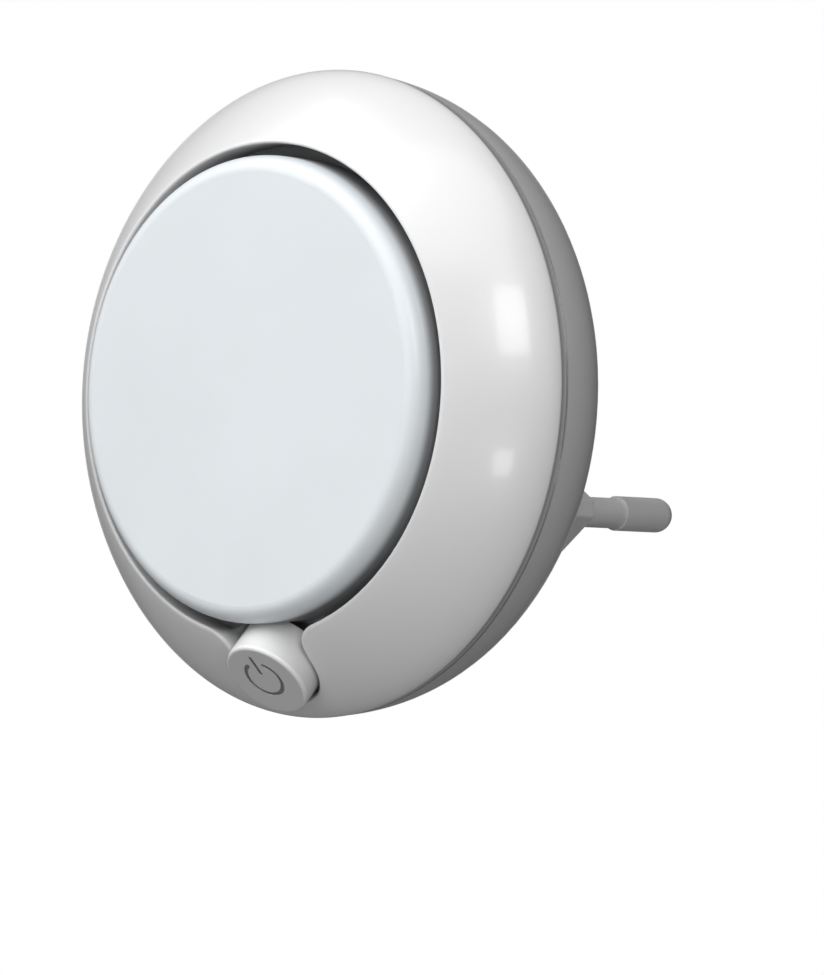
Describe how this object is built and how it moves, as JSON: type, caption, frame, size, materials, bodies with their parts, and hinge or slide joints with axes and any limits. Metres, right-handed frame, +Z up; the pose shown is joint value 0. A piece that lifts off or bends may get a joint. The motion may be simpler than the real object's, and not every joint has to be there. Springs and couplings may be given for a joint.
{
  "type": "plug-in night light",
  "caption": "Round plug-in LED night light with a frosted front panel, a slanted push button and a flat two-pin plug.",
  "frame": {"origin": "centre of the plug's contact face, midway between the pins", "axes": "+Y along the pins into the wall socket, -Y out of the lit front, +Z up, +X to the right seen from the front"},
  "size_m": [0.072, 0.0602, 0.072],
  "materials": {
    "white_case": "smooth gloss white",
    "white_case_rear": "smooth gloss white",
    "frosted_panel": "frosted, slightly blue white",
    "reflector_white": "matt white",
    "white_board": "white solder mask",
    "led_package": "white package",
    "led_phosphor": "yellow phosphor",
    "plug_plastic": "smooth light grey plastic",
    "pin_metal": "nickel-plated brass",
    "sleeve_plastic": "grey insulating sleeve",
    "terminal_brass": "tinned brass strip",
    "mains_board": "green circuit board",
    "capacitor_box": "yellow box capacitor",
    "capacitor_can": "dark sleeve round a metal can",
    "black_chip": "black moulded chip",
    "resistor_body": "blue-grey coated resistor with tinned leads",
    "tinned_metal": "tinned pins",
    "button_white": "satin white",
    "switch_white": "white plunger",
    "spring_steel": "steel wire",
    "wire_insulation": "red insulated wire",
    "screw_steel": "zinc-plated steel"
  },
  "bodies": {
    "lamp": {"front_shell": "white_case", "rear_shell": "white_case_rear", "diffuser": "frosted_panel", "reflector_tray": "reflector_white", "led_board": "white_board", "led_packages": "led_package", "led_phosphors": "led_phosphor", "plug_insert": "plug_plastic", "contact_pin_left": "pin_metal", "contact_pin_right": "pin_metal", "pin_sleeve_left": "sleeve_plastic", "pin_sleeve_right": "sleeve_plastic", "pin_terminal_left": "terminal_brass", "pin_terminal_right": "terminal_brass", "driver_board": "mains_board", "film_capacitor": "capacitor_box", "smoothing_capacitor": "capacitor_can", "bridge_rectifier": "black_chip", "fuse_resistor": "resistor_body", "chip_resistors": "black_chip", "link_header": "black_chip", "link_pins": "tinned_metal", "switch_housing": "black_chip", "switch_spring": "spring_steel", "switch_legs": "tinned_metal", "switch_board": "mains_board", "switch_bracket": "switch_white", "switch_wires": "wire_insulation", "case_screws": "screw_steel", "tray_screws": "screw_steel", "led_board_screws": "screw_steel", "board_screws": "screw_steel"},
    "button": {"button_cap": "button_white", "switch_plunger": "switch_white"}
  },
  "joints": [
    {"name": "button_press", "type": "slide", "parent": "lamp", "child": "button", "axis": [0, 0.7071, 0.7071], "range_m": [0, 0.0012], "stiffness_N_per_m": 1200, "deforming": ["switch_spring"]}
  ]
}
